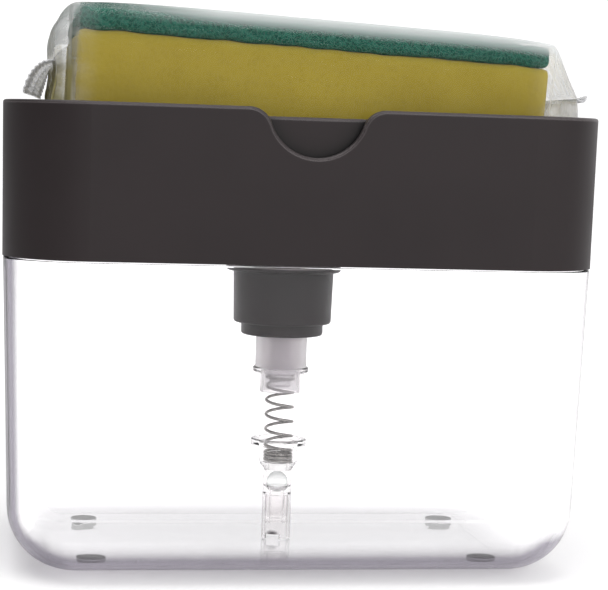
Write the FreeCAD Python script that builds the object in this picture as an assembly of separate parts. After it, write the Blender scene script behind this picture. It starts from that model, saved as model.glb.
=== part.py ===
import FreeCAD, Part

import math
import os
from FreeCAD import Rotation, Vector

# Countertop soap pump caddy: a clear tank, a dark collar tray with a sprung press tray in it,
# a dip-tube pump that hangs from the collar tray, and a wrapped sponge that lies in the press tray.
# Millimetres, +Z up, +Y to the back, origin on the table under the middle of the tank.

# Overall outline
rim_width = 130.0
rim_depth = 90.0
tank_height = 69.0
shell_height = 33.0
corner_radius = 18.0

# Collar tray
shell_draft = 0.75
shell_wall = 2.0
lip_wall = 1.0
rim_rounding = 0.6
deck_thickness = 2.0
notch_radius = 10.3
notch_shoulder = 5.0
boss_drop = 9.1
boss_wall = 1.8
boss_shoulder_over = 0.3
boss_well_depth = 4.5
gusset_count = 4
gusset_length = 9.0
gusset_thickness = 1.6

# Tank
tank_wall = 2.2
tank_floor = 1.4
tank_draft = 1.9
bottom_margin = 1.15
neck_height = 6.5
neck_rounding = 0.3
neck_clearance = 0.25
flush_setback = 0.15
seam_gap = 0.3

# Feet
foot_radius = 3.2
foot_stand = 1.2
foot_recess = 0.6
foot_rounding = 0.4
foot_inset_x = 3.0
foot_inset_y = 5.0
foot_clearance = 0.1

# Travel and fits of the moving pieces
press_travel = 8.0
valve_slip = 1.0
slide_fit = 0.08
push_fit = 0.05
stop_gap = 0.15

# Press tray and its outlet
press_bottom_gap = 0.7
press_clearance = 0.8
press_wall = 1.6
press_floor = 1.8
press_wall_drop = 1.9
press_outer_rounding = 2.5
press_inner_rounding = 1.7
rib_height = 1.5
rib_thickness = 1.6
rib_end_gap = 11.0
rib_pitch = 11.0
rib_count = 10
socket_wall = 1.7
socket_depth = 6.8
socket_running_gap = 0.6
nozzle_radius = 7.5
nozzle_thickness = 1.3
nozzle_spigot_radius = 3.3
nozzle_slot_count = 4
nozzle_slot_width = 1.2
nozzle_slot_length = 3.4
nozzle_slot_depth = 0.65
outlet_bore = 1.5

# Pump collar, the nut that holds the pump under the collar tray
collar_flange_radius = 13.3
collar_flange_thickness = 1.4
collar_top_radius = 11.6
collar_bottom_radius = 11.3
collar_step_radius = 9.5
collar_step_height = 2.8
collar_height = 16.2
collar_floor = 3.3
collar_wall = 1.5
collar_rounding = 0.6
thread_gap = 0.25

# Pump cylinder, gasket and stem guide
cylinder_bore = 4.7
cylinder_wall = 0.9
cylinder_upper_wall = 1.25
cylinder_rib_out = 0.85
cylinder_rib_drop = 8.8
cylinder_rib_height = 1.3
cylinder_rib_rounding = 0.35
cylinder_ring_height = 1.6
cylinder_step = 0.8
cylinder_flange_setback = 0.85
cylinder_flange_thickness = 1.4
cylinder_neck_rise = 4.1
cylinder_fit = 0.2
gasket_thickness = 1.2
guide_flange_gap = 0.85
guide_flange_thickness = 1.5
guide_skirt_height = 2.4

# Spring well, inlet ball and spigot
well_depth = 4.0
well_wall = 0.9
spring_gap = 0.15
ball_radius = 2.4
ball_rise = 2.95
ball_seat_gap = 0.1
ball_side_gap = 0.35
chamber_rise = 3.35
chamber_wall = 0.6
bead_grip = 0.2
bead_height = 1.3
inlet_bore = 1.6
cone_height = 1.8
spigot_length = 5.7

# Dip tube
tube_wall = 0.65
tube_overhang = 4.1
tube_floor_gap = 0.3
tube_notch_width = 3.4
tube_notch_height = 1.3
tube_notch_turn = -25.0

# Stem, piston and rod
stem_radius = 2.8
stem_bore = 1.8
stem_stop_gap = 0.3
stem_stop_height = 2.1
piston_drop = 7.45
piston_body_height = 6.25
piston_skirt_length = 5.85
piston_upper_lip = 2.1
piston_lip = 0.6
piston_land = 1.6
piston_waist = 0.35
rod_radius = 2.2
rod_flow_gap = 0.3
rod_head_setback = 0.15
rod_head_clearance = 0.3
rod_head_height = 1.7
rod_head_rounding = 0.35
rod_pin_length = 3.0
rod_pin_gap = 0.3
rod_plug_length = 5.5
rod_groove_radius = 0.5
rod_groove_rise = 1.0

# Spring
spring_radius = 3.45
wire_diameter = 0.7
close_pitch = 1.2
bottom_close_turns = 2.0
top_close_turns = 1.0
open_turns = 4.5
spring_end_gap = 0.05

# Sponge and its film wrapper
sponge_end_gap = 9.6
sponge_side_gap = 5.6
foam_thickness = 22.0
pad_thickness = 4.8
sponge_rounding = 2.0
sponge_tilt = 2.75
bond_gap = 0.05
film_thickness = 0.4
film_slack = 0.3
film_rest_gap = 0.2
film_rim_gap = 0.8
film_hang_gap = 0.8
film_right_rise = 1.0
film_end_depth = 30.0
film_end_height = 2.4

# How far a cutting solid runs past the face it cuts, and samples per turn for the spring's gap
cut_over = 1.0
gap_samples = 24

# Worked-out levels
shell_slope = math.tan(math.radians(shell_draft))
tank_slope = math.tan(math.radians(tank_draft))
half_x = rim_width / 2 - corner_radius
half_y = rim_depth / 2 - corner_radius
skirt_z = tank_height
rim_z = skirt_z + shell_height
deck_under_z = skirt_z + neck_height
deck_top_z = deck_under_z + deck_thickness
tank_shoulder_z = skirt_z - seam_gap
tank_under_z = foot_stand
tank_floor_z = tank_under_z + tank_floor
press_under_z = deck_top_z + press_travel + press_bottom_gap
press_floor_z = press_under_z + press_floor
press_top_z = rim_z - press_wall_drop
rib_top_z = press_floor_z + rib_height
collar_seat_z = deck_under_z - boss_drop
collar_bottom_z = collar_seat_z - collar_height
cylinder_flange_z = collar_bottom_z + collar_floor
gasket_z = cylinder_flange_z + cylinder_flange_thickness
boss_end_z = gasket_z + gasket_thickness
cylinder_top_z = gasket_z + cylinder_neck_rise
piston_body_z = collar_bottom_z - piston_drop
stem_foot_z = piston_body_z + piston_body_height + valve_slip + stop_gap
stem_stop_z = stem_foot_z + stem_stop_height
stem_top_z = press_under_z - push_fit
spring_top_z = piston_body_z - push_fit - rod_head_height
dip_tube_end_z = tank_floor_z + tube_floor_gap
spigot_end_z = dip_tube_end_z + tube_overhang
tube_top_z = spigot_end_z + spigot_length
ball_z = tube_top_z + ball_rise
bead_z = ball_z + chamber_rise
spring_seat_z = bead_z + bead_height
cylinder_foot_z = spring_seat_z + well_depth

# Worked-out radii
collar_bore = collar_top_radius - collar_wall
boss_radius = collar_bore - thread_gap
boss_bore = boss_radius - boss_wall
boss_shoulder_radius = collar_flange_radius + boss_shoulder_over
cylinder_lower_radius = cylinder_bore + cylinder_wall
cylinder_upper_radius = cylinder_bore + cylinder_upper_wall
cylinder_rib_radius = cylinder_lower_radius + cylinder_rib_out
cylinder_flange_radius = boss_radius - cylinder_flange_setback
piston_radius = cylinder_bore - slide_fit
socket_radius = stem_radius + socket_wall
spring_well_bore = spring_radius + spring_gap
chamber_radius = ball_radius + ball_side_gap
tube_radius = chamber_radius + chamber_wall
tube_bore = tube_radius - tube_wall
rod_head_radius = spring_radius - rod_head_setback

# Worked-out sponge sizes
press_reach = shell_wall + press_clearance + press_wall
sponge_length = rim_width - 2 * press_reach - 2 * sponge_end_gap
sponge_depth = rim_depth - 2 * press_reach - 2 * sponge_side_gap
sponge_height = foam_thickness + bond_gap + pad_thickness
sponge_lean = math.radians(sponge_tilt)
sponge_seat_z = rib_top_z + film_rest_gap + film_thickness + film_slack
film_tip_x = rim_width / 2 - shell_wall - press_clearance - film_rim_gap
film_tip_lift = (sponge_length / 2 + film_tip_x) * math.sin(sponge_lean)
film_left_low = (press_top_z + film_hang_gap - sponge_seat_z - film_tip_lift) / math.cos(sponge_lean)

UP = Vector(0, 0, 1)
ORIGIN = Vector(0, 0, 0)


def shell_outer(z):
    """Distance of the collar tray's outer face from the corner axes at height z."""
    return corner_radius - (rim_z - z) * shell_slope


def tank_outer(z):
    """Distance of the tank's outer face from the corner axes at height z."""
    top = shell_outer(skirt_z) - flush_setback
    return top - (tank_shoulder_z - z) * tank_slope


def outline(corners):
    """Closed face in the XZ plane. Each corner is (x, z) or (x, z, rounding radius)."""
    points = [Vector(corner[0], 0, corner[1]) for corner in corners]
    bends = []
    for index, corner in enumerate(corners):
        point = points[index]
        radius = corner[2] if len(corner) > 2 else 0
        if radius == 0:
            bends.append((point, None, point))
            continue
        back = (points[index - 1] - point).normalize()
        ahead = (points[(index + 1) % len(points)] - point).normalize()
        half_angle = back.getAngle(ahead) / 2
        reach = radius / math.tan(half_angle)
        middle = (back + ahead).normalize() * (radius / math.sin(half_angle) - radius)
        bends.append((point + back * reach, point + middle, point + ahead * reach))
    edges = []
    for index, (start, middle, end) in enumerate(bends):
        last = bends[index - 1][2]
        if last.distanceToPoint(start) > 1e-6:
            edges.append(Part.makeLine(last, start))
        if middle is not None:
            edges.append(Part.Arc(start, middle, end).toShape())
    return Part.Face(Part.Wire(edges))


def turned(corners):
    """Solid of revolution about the pump's axis."""
    return outline(corners).revolve(ORIGIN, UP, 360)


def round_corner_sweep(corners, core=None):
    """Carry a profile round the rounded-rectangle plan.

    The profile's x runs outwards from the corner axes. A core (low, high) fills the middle.
    """
    profile = outline(corners)
    pieces = []
    if core:
        low, high = core
        block = Part.makeBox(2 * half_x, 2 * half_y, high - low, Vector(-half_x, -half_y, low))
        pieces.append(block)
    for quarter, (x, y, run) in enumerate((
        (half_x, half_y, 2 * half_x),
        (-half_x, half_y, 2 * half_y),
        (-half_x, -half_y, 2 * half_x),
        (half_x, -half_y, 2 * half_y),
    )):
        start = profile.rotated(ORIGIN, UP, 90 * quarter).translated(Vector(x, y, 0))
        pieces.append(start.revolve(Vector(x, y, 0), UP, 90))
        end = profile.rotated(ORIGIN, UP, 90 * quarter + 90).translated(Vector(x, y, 0))
        along = Rotation(UP, 90 * quarter).multVec(Vector(-run, 0, 0))
        pieces.append(end.extrude(along))
    return pieces[0].multiFuse(pieces[1:]).removeSplitter()


def whole(shape):
    """The single solid in a boolean's result."""
    return shape.removeSplitter().Solids[0]


def tank():
    """Clear tub with a rounded foot and a thin neck that goes up inside the collar tray's lip."""
    neck_outer = shell_outer(skirt_z) - lip_wall - neck_clearance
    wall_offset = tank_wall / math.cos(math.radians(tank_draft))
    inner_shoulder = tank_outer(tank_shoulder_z) - wall_offset
    inner_foot = tank_outer(tank_floor_z) - wall_offset
    bottom_rounding = tank_outer(tank_under_z) - bottom_margin
    mouth_z = deck_under_z + cut_over
    outside = round_corner_sweep([
        (0, tank_under_z),
        (tank_outer(tank_under_z), tank_under_z, bottom_rounding),
        (tank_outer(tank_shoulder_z), tank_shoulder_z, neck_rounding),
        (neck_outer, tank_shoulder_z),
        (neck_outer, deck_under_z, neck_rounding),
        (0, deck_under_z),
    ], core=(tank_under_z, deck_under_z))
    inside = round_corner_sweep([
        (0, tank_floor_z),
        (inner_foot, tank_floor_z, bottom_rounding - tank_wall),
        (inner_shoulder, tank_shoulder_z),
        (inner_shoulder, mouth_z),
        (0, mouth_z),
    ], core=(tank_floor_z, mouth_z))
    body = outside.cut(inside)
    for x, y in foot_places().values():
        recess = Part.makeCylinder(foot_radius + foot_clearance, foot_recess, Vector(x, y, tank_under_z))
        body = body.cut(recess)
    return whole(body)


def foot_places():
    reach_x = half_x - foot_inset_x
    reach_y = half_y - foot_inset_y
    return {
        "front_left": (-reach_x, -reach_y),
        "front_right": (reach_x, -reach_y),
        "rear_left": (-reach_x, reach_y),
        "rear_right": (reach_x, reach_y),
    }


def foot(x, y):
    disc = turned([
        (0, 0),
        (foot_radius, 0, foot_rounding),
        (foot_radius, foot_stand + foot_recess),
        (0, foot_stand + foot_recess),
    ])
    return disc.translated(Vector(x, y, 0))


def finger_notch():
    """Cutter for the half-round finger notch with eased shoulders in the front wall."""
    top = rim_z + cut_over
    centres = notch_radius + notch_shoulder
    shoulder_x = math.sqrt(centres ** 2 - notch_shoulder ** 2)
    shoulder_z = rim_z - notch_shoulder
    meet_x = notch_radius * shoulder_x / centres
    meet_z = rim_z - notch_radius * notch_shoulder / centres
    lean = (math.pi / 2 + math.asin(notch_shoulder / centres)) / 2
    ease_x = shoulder_x - notch_shoulder * math.cos(lean)
    ease_z = shoulder_z + notch_shoulder * math.sin(lean)
    left = [Vector(-x, 0, z) for x, z in ((shoulder_x, rim_z), (ease_x, ease_z), (meet_x, meet_z))]
    right = [Vector(-point.x, 0, point.z) for point in reversed(left)]
    bottom = Vector(0, 0, rim_z - notch_radius)
    edges = [
        Part.Arc(*left).toShape(),
        Part.Arc(left[2], bottom, right[0]).toShape(),
        Part.Arc(*right).toShape(),
        Part.makeLine(right[2], Vector(shoulder_x, 0, top)),
        Part.makeLine(Vector(shoulder_x, 0, top), Vector(-shoulder_x, 0, top)),
        Part.makeLine(Vector(-shoulder_x, 0, top), left[0]),
    ]
    face = Part.Face(Part.Wire(edges)).translated(Vector(0, -rim_depth / 2 - cut_over, 0))
    return face.extrude(Vector(0, shell_wall + 2 * cut_over, 0))


def rim_edges(wall):
    """The outer and inner edges that run along the rim and down round the finger notch."""
    edges = []
    for edge in wall.Edges:
        box = edge.BoundBox
        along_wall = max(box.XLength, box.YLength) > shell_wall + rim_rounding
        if box.ZMin > rim_z - notch_radius - rim_rounding and along_wall:
            edges.append(edge)
    return edges


def collar_tray():
    """Drafted wall with a deck across it; the pump's threaded boss hangs under the deck."""
    inner_top = shell_outer(rim_z) - shell_wall
    inner_deck = shell_outer(deck_top_z) - shell_wall
    lip_inner = shell_outer(skirt_z) - lip_wall
    wall = round_corner_sweep([
        (shell_outer(skirt_z), skirt_z),
        (shell_outer(rim_z), rim_z),
        (inner_top, rim_z),
        (inner_deck, deck_top_z),
        (inner_deck, deck_under_z),
        (lip_inner, deck_under_z),
        (lip_inner, skirt_z),
    ])
    wall = whole(wall.cut(finger_notch()))
    wall = wall.makeFillet(rim_rounding, rim_edges(wall))
    deck_reach = (inner_deck + lip_inner) / 2
    deck = round_corner_sweep([
        (0, deck_under_z),
        (deck_reach, deck_under_z),
        (deck_reach, deck_top_z),
        (0, deck_top_z),
    ], core=(deck_under_z, deck_top_z))
    boss = turned([
        (0, boss_end_z),
        (boss_radius, boss_end_z, rim_rounding),
        (boss_radius, collar_seat_z),
        (boss_shoulder_radius, collar_seat_z, rim_rounding),
        (boss_shoulder_radius, deck_top_z),
        (0, deck_top_z),
    ])
    gussets = [deck_gusset(index * 360 / gusset_count) for index in range(gusset_count)]
    body = wall.multiFuse([deck, boss] + gussets)
    passage_radius = socket_radius + socket_running_gap
    well_top = deck_under_z - boss_well_depth
    passage = turned([
        (0, boss_end_z - cut_over),
        (boss_bore, boss_end_z - cut_over),
        (boss_bore, well_top),
        (passage_radius, well_top),
        (passage_radius, deck_top_z + cut_over),
        (0, deck_top_z + cut_over),
    ])
    return whole(body.cut(passage))


def deck_gusset(angle):
    """Web between the boss and the underside of the deck, on the diagonal of the plan."""
    side = -gusset_thickness / 2
    low = collar_seat_z + rim_rounding
    web = Part.makePolygon([
        Vector(boss_radius, side, deck_top_z),
        Vector(boss_shoulder_radius + gusset_length, side, deck_top_z),
        Vector(boss_shoulder_radius + gusset_length, side, deck_under_z),
        Vector(boss_shoulder_radius, side, low),
        Vector(boss_radius, side, low),
        Vector(boss_radius, side, deck_top_z),
    ])
    gusset = Part.Face(web).extrude(Vector(0, gusset_thickness, 0))
    return gusset.rotated(ORIGIN, UP, 45 + angle)


def press_tray():
    """Sprung inner tray: a ribbed floor for the sponge and a socket for the pump's stem below."""
    outer_top = shell_outer(press_top_z) - shell_wall - press_clearance
    outer_foot = shell_outer(press_under_z) - shell_wall - press_clearance
    above = press_top_z + cut_over
    outside = round_corner_sweep([
        (0, press_under_z),
        (outer_foot, press_under_z, press_outer_rounding),
        (outer_top, press_top_z, rim_rounding),
        (0, press_top_z),
    ], core=(press_under_z, press_top_z))
    inside = round_corner_sweep([
        (0, press_floor_z),
        (outer_foot - press_wall, press_floor_z, press_inner_rounding),
        (outer_top - press_wall, press_top_z),
        (outer_top - press_wall, above),
        (0, above),
    ], core=(press_floor_z, above))
    body = outside.cut(inside)
    socket_z = press_under_z - socket_depth
    socket = Part.makeCylinder(socket_radius, socket_depth + press_floor, Vector(0, 0, socket_z))
    body = body.multiFuse(press_ribs() + [socket])
    clearing = Part.makeCylinder(nozzle_radius + push_fit, rib_height + cut_over, Vector(0, 0, press_floor_z))
    stem_hole = Part.makeCylinder(stem_radius + push_fit, socket_depth, Vector(0, 0, socket_z))
    nozzle_hole = Part.makeCylinder(nozzle_spigot_radius + push_fit, press_floor, Vector(0, 0, press_under_z))
    return whole(body.cut(clearing).cut(stem_hole).cut(nozzle_hole))


def press_ribs():
    length = rim_depth - 2 * press_reach - 2 * rib_end_gap
    ribs = []
    for index in range(rib_count):
        x = (index - (rib_count - 1) / 2) * rib_pitch
        corner = Vector(x - rib_thickness / 2, -length / 2, press_under_z)
        ribs.append(Part.makeBox(rib_thickness, length, rib_top_z - press_under_z, corner))
    return ribs


def outlet_nozzle():
    """Round outlet in the middle of the press tray, with slots that spread the soap."""
    top = press_floor_z + nozzle_thickness
    body = turned([
        (outlet_bore, press_under_z + push_fit),
        (nozzle_spigot_radius, press_under_z + push_fit),
        (nozzle_spigot_radius, press_floor_z),
        (nozzle_radius, press_floor_z),
        (nozzle_radius, top, rim_rounding),
        (outlet_bore, top),
    ])
    for index in range(nozzle_slot_count):
        corner = Vector(0, -nozzle_slot_width / 2, top - nozzle_slot_depth)
        slot = Part.makeBox(outlet_bore + nozzle_slot_length, nozzle_slot_width, nozzle_thickness, corner)
        body = body.cut(slot.rotated(ORIGIN, UP, index * 360 / nozzle_slot_count))
    return whole(body)


def pump_collar():
    """Nut with a flange at its top and a stepped foot that the cylinder passes through."""
    hole = cylinder_upper_radius + cylinder_fit
    flange_z = collar_seat_z - collar_flange_thickness
    step_z = collar_bottom_z + collar_step_height
    return turned([
        (hole, collar_bottom_z),
        (collar_step_radius, collar_bottom_z, collar_rounding),
        (collar_step_radius, step_z),
        (collar_bottom_radius, step_z, collar_rounding),
        (collar_top_radius, flange_z),
        (collar_flange_radius, flange_z, collar_rounding),
        (collar_flange_radius, collar_seat_z),
        (collar_bore, collar_seat_z),
        (collar_bore, cylinder_flange_z),
        (hole, cylinder_flange_z),
    ])


def pump_gasket():
    return turned([
        (cylinder_upper_radius + cylinder_fit, gasket_z),
        (cylinder_flange_radius, gasket_z),
        (cylinder_flange_radius, boss_end_z),
        (cylinder_upper_radius + cylinder_fit, boss_end_z),
    ])


def pump_cylinder():
    """Clear stepped barrel: piston bore, spring well, ball chamber with its cone seat, and spigot."""
    seat_shift = ball_z - (ball_radius + ball_seat_gap) * math.sqrt(2)
    ring_top = cylinder_foot_z + cylinder_ring_height
    rib_z = collar_bottom_z - cylinder_rib_drop
    rib_top = rib_z + cylinder_rib_height
    bore_floor = cylinder_foot_z + cylinder_step
    well_radius = spring_well_bore + well_wall
    bead_radius = ball_radius - bead_grip
    return turned([
        (inlet_bore, spigot_end_z),
        (tube_bore - push_fit, spigot_end_z),
        (tube_bore - push_fit, tube_top_z + push_fit),
        (tube_radius, tube_top_z + push_fit),
        (tube_radius, spring_seat_z - cone_height),
        (well_radius, spring_seat_z),
        (well_radius, cylinder_foot_z),
        (cylinder_rib_radius, cylinder_foot_z),
        (cylinder_rib_radius, ring_top, cylinder_rib_rounding),
        (cylinder_lower_radius, ring_top),
        (cylinder_lower_radius, rib_z),
        (cylinder_rib_radius, rib_z, cylinder_rib_rounding),
        (cylinder_rib_radius, rib_top, cylinder_rib_rounding),
        (cylinder_upper_radius, rib_top),
        (cylinder_upper_radius, cylinder_flange_z),
        (cylinder_flange_radius, cylinder_flange_z),
        (cylinder_flange_radius, gasket_z),
        (cylinder_upper_radius, gasket_z),
        (cylinder_upper_radius, cylinder_top_z),
        (cylinder_bore, cylinder_top_z),
        (cylinder_bore, bore_floor),
        (spring_well_bore, bore_floor),
        (spring_well_bore, spring_seat_z),
        (bead_radius, spring_seat_z),
        (bead_radius, bead_z),
        (chamber_radius, bead_z),
        (chamber_radius, seat_shift + chamber_radius),
        (inlet_bore, seat_shift + inlet_bore),
    ])


def dip_tube():
    """Tube pushed over the cylinder's spigot, notched at its foot so that the floor can't shut it."""
    tube = turned([
        (tube_bore, dip_tube_end_z),
        (tube_radius, dip_tube_end_z),
        (tube_radius, tube_top_z),
        (tube_bore, tube_top_z),
    ])
    corner = Vector(-tube_notch_width / 2, -tube_radius - cut_over, dip_tube_end_z - cut_over)
    notch = Part.makeBox(tube_notch_width, tube_radius + cut_over, tube_notch_height + cut_over, corner)
    return whole(tube.cut(notch.rotated(ORIGIN, UP, tube_notch_turn)))


def inlet_ball():
    return Part.makeSphere(ball_radius, Vector(0, 0, ball_z))


def stem_guide():
    """Cap on the cylinder's neck, with the sleeve that guides the stem and stops it at the top."""
    sleeve_bore = stem_radius + slide_fit
    sleeve_foot = stem_stop_z + stop_gap
    skirt_bore = cylinder_upper_radius + push_fit
    skirt_foot = cylinder_top_z - guide_skirt_height
    flange_radius = boss_bore - guide_flange_gap
    flange_top = cylinder_top_z + guide_flange_thickness
    return turned([
        (sleeve_bore, sleeve_foot),
        (piston_radius, sleeve_foot),
        (piston_radius, cylinder_top_z),
        (skirt_bore, cylinder_top_z),
        (skirt_bore, skirt_foot),
        (flange_radius, skirt_foot),
        (flange_radius, flange_top, collar_rounding),
        (sleeve_bore, flange_top),
    ])


def pump_stem():
    """Hollow stem from the piston up into the press tray's socket, with a stop flange at its foot."""
    stop_radius = piston_radius - piston_lip - stem_stop_gap
    return turned([
        (stem_bore, stem_foot_z),
        (stop_radius, stem_foot_z),
        (stop_radius, stem_stop_z),
        (stem_radius, stem_stop_z),
        (stem_radius, stem_top_z),
        (stem_bore, stem_top_z),
    ])


def piston_seal():
    """Double-lipped piston that slips a little on its rod to open and shut the outlet."""
    bore = rod_radius + rod_flow_gap
    body_top = piston_body_z + piston_body_height
    lip_top = body_top + piston_upper_lip
    skirt_z_low = piston_body_z - piston_skirt_length
    waist_low = piston_body_z + piston_land
    waist_high = body_top - piston_land
    return turned([
        (bore, piston_body_z),
        (rod_head_radius + rod_head_clearance, piston_body_z),
        (piston_radius - piston_lip, skirt_z_low),
        (piston_radius, skirt_z_low),
        (piston_radius, waist_low),
        (piston_radius - piston_waist, waist_low + piston_waist),
        (piston_radius - piston_waist, waist_high - piston_waist),
        (piston_radius, waist_high),
        (piston_radius, lip_top),
        (piston_radius - piston_lip, lip_top),
        (piston_radius - piston_lip, body_top),
        (bore, body_top),
    ])


def piston_rod():
    """Rod pushed into the stem; its head seats the piston above and the spring below."""
    head_top = spring_top_z + rod_head_height
    plug_foot = stem_foot_z - push_fit
    plug_top = stem_foot_z + rod_plug_length
    pin_radius = spring_radius - wire_diameter - rod_pin_gap
    pin_foot = spring_top_z - rod_pin_length
    body = turned([
        (0, pin_foot),
        (pin_radius, pin_foot, rod_head_rounding),
        (pin_radius, spring_top_z),
        (rod_head_radius, spring_top_z),
        (rod_head_radius, head_top, rod_head_rounding),
        (rod_radius, head_top),
        (rod_radius, plug_foot),
        (stem_bore - push_fit, plug_foot),
        (stem_bore - push_fit, plug_top),
        (0, plug_top),
    ])
    groove_z = head_top + rod_groove_rise
    for side in (-1, 1):
        foot_point = Vector(0, side * rod_radius, groove_z)
        body = body.cut(Part.makeCylinder(rod_groove_radius, plug_top - groove_z, foot_point))
    return whole(body)


def helix_point(turn, heights):
    """Point and tangent on the spring's left-hand helix after a number of turns."""
    height, pitch = heights(turn)
    angle = -2 * math.pi * turn
    radius = spring_radius - wire_diameter / 2
    point = Vector(radius * math.cos(angle), radius * math.sin(angle), height)
    tangent = Vector(radius * math.sin(angle), -radius * math.cos(angle), pitch / (2 * math.pi))
    return point, tangent.normalize()


def arc_from_corner(start, corner, end):
    """Arc from start to end whose end tangents meet at the corner."""
    chord_middle = (start + end) * 0.5
    half_chord = start.distanceToPoint(end) / 2
    turn = (corner - start).getAngle(end - corner)
    lift = (corner - chord_middle).normalize() * (half_chord * math.tan(turn / 4))
    return Part.Arc(start, chord_middle + lift, end).toShape()


def biarc(start, start_tangent, end, end_tangent):
    """Two arcs that join two points along their tangents."""
    span = end - start
    both = start_tangent + end_tangent
    a = 2 * (1 - start_tangent.dot(end_tangent))
    b = 2 * span.dot(both)
    c = -span.dot(span)
    reach = (-b + math.sqrt(b * b - 4 * a * c)) / (2 * a)
    first = start + start_tangent * reach
    second = end - end_tangent * reach
    middle = (first + second) * 0.5
    return [arc_from_corner(start, first, middle), arc_from_corner(middle, second, end)]


def pump_spring():
    """Compression spring with close end turns, one unbroken round wire on biarcs of a quarter turn."""
    low = spring_seat_z + wire_diameter / 2 + spring_end_gap
    high = spring_top_z - wire_diameter / 2 - spring_end_gap
    open_low = low + bottom_close_turns * close_pitch
    open_high = high - top_close_turns * close_pitch
    open_pitch = (open_high - open_low) / open_turns
    turns = bottom_close_turns + open_turns + top_close_turns

    def heights(turn):
        if turn <= bottom_close_turns:
            return low + turn * close_pitch, close_pitch
        if turn < turns - top_close_turns:
            return open_low + (turn - bottom_close_turns) * open_pitch, open_pitch
        return high - (turns - turn) * close_pitch, close_pitch

    quarters = round(turns * 4)
    stations = [helix_point(turns * index / quarters, heights) for index in range(quarters + 1)]
    edges = []
    for (start, start_tangent), (end, end_tangent) in zip(stations, stations[1:]):
        edges += biarc(start, start_tangent, end, end_tangent)
    first, first_tangent = stations[0]
    last, last_tangent = stations[-1]
    wire_start = first - first_tangent * wire_diameter
    edges.insert(0, Part.makeLine(wire_start, first))
    edges.append(Part.makeLine(last, last + last_tangent * wire_diameter))
    path = Part.Wire(edges)
    section = Part.Wire(Part.makeCircle(wire_diameter / 2, wire_start, first_tangent))
    print("spring least gap to itself", round(least_gap(path, turns) - wire_diameter, 3))
    return path.makePipeShell([section], True, False)


def least_gap(path, turns):
    """Least distance between points of a wound path that lie over half a turn apart."""
    points = path.discretize(round(turns * gap_samples))
    apart = gap_samples // 2
    return min(
        points[i].distanceToPoint(points[j])
        for i in range(len(points)) for j in range(i + apart, len(points)))


def tilted(shape):
    """Lay a sponge piece in the press tray: right-hand end down on the ribs, left end raised."""
    pivot = Vector(sponge_length / 2, 0, 0)
    return shape.rotated(pivot, Vector(0, 1, 0), sponge_tilt).translated(UP * sponge_seat_z)


def rounded_block(height, z):
    """Slab of the sponge's plan with its upright edges rounded."""
    corner = Vector(-sponge_length / 2, -sponge_depth / 2, z)
    block = Part.makeBox(sponge_length, sponge_depth, height, corner)
    upright = [edge for edge in block.Edges if edge.BoundBox.ZLength > height / 2]
    return block.makeFillet(sponge_rounding, upright)


def sponge_foam():
    return tilted(rounded_block(foam_thickness, 0))


def scouring_pad():
    return tilted(rounded_block(pad_thickness, foam_thickness + bond_gap))


def wrapper_section(x, z, depth, height):
    """Upright rectangle across the film at one place along it."""
    low = z - height / 2
    high = z + height / 2
    return Part.makePolygon([
        Vector(x, -depth / 2, low),
        Vector(x, depth / 2, low),
        Vector(x, depth / 2, high),
        Vector(x, -depth / 2, high),
        Vector(x, -depth / 2, low),
    ])


def wrapper_form(inset):
    """The film's outer face, or one set in by a wall: a sleeve whose ends are drawn to a slit."""
    grow = film_slack + film_thickness - inset
    middle = sponge_height / 2
    reach = sponge_length / 2 + grow
    sleeve = (sponge_depth + 2 * grow, sponge_height + 2 * grow)
    end = (film_end_depth - 2 * inset, film_end_height - 2 * inset)
    return Part.makeLoft([
        wrapper_section(-film_tip_x, film_left_low + film_end_height / 2, *end),
        wrapper_section(-reach, middle, *sleeve),
        wrapper_section(reach, middle, *sleeve),
        wrapper_section(film_tip_x, middle + film_right_rise, *end),
    ], True, True)


def sponge_wrapper():
    """Thin film sleeve round the sponge, gathered at both ends."""
    return tilted(whole(wrapper_form(0).cut(wrapper_form(film_thickness))))


def build():
    pieces = {
        "tank": tank(),
        "collar_tray": collar_tray(),
        "press_tray": press_tray(),
        "outlet_nozzle": outlet_nozzle(),
        "pump_collar": pump_collar(),
        "pump_gasket": pump_gasket(),
        "pump_cylinder": pump_cylinder(),
        "dip_tube": dip_tube(),
        "inlet_ball": inlet_ball(),
        "stem_guide": stem_guide(),
        "pump_stem": pump_stem(),
        "piston_seal": piston_seal(),
        "piston_rod": piston_rod(),
        "pump_spring": pump_spring(),
        "sponge_foam": sponge_foam(),
        "scouring_pad": scouring_pad(),
        "sponge_wrapper": sponge_wrapper(),
    }
    for place, (x, y) in foot_places().items():
        pieces["foot_" + place] = foot(x, y)
    return pieces


os.makedirs("parts", exist_ok=True)
for name, shape in build().items():
    box = shape.BoundBox
    heights = (round(box.ZMin, 2), round(box.ZMax, 2))
    print(name, shape.isValid(), len(shape.Solids), round(shape.Volume, 1), "z", heights)
    shape.exportStep("parts/" + name + ".step")
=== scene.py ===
import math

import bmesh
import bpy
from mathutils import Matrix, Quaternion, Vector, noise


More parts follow.
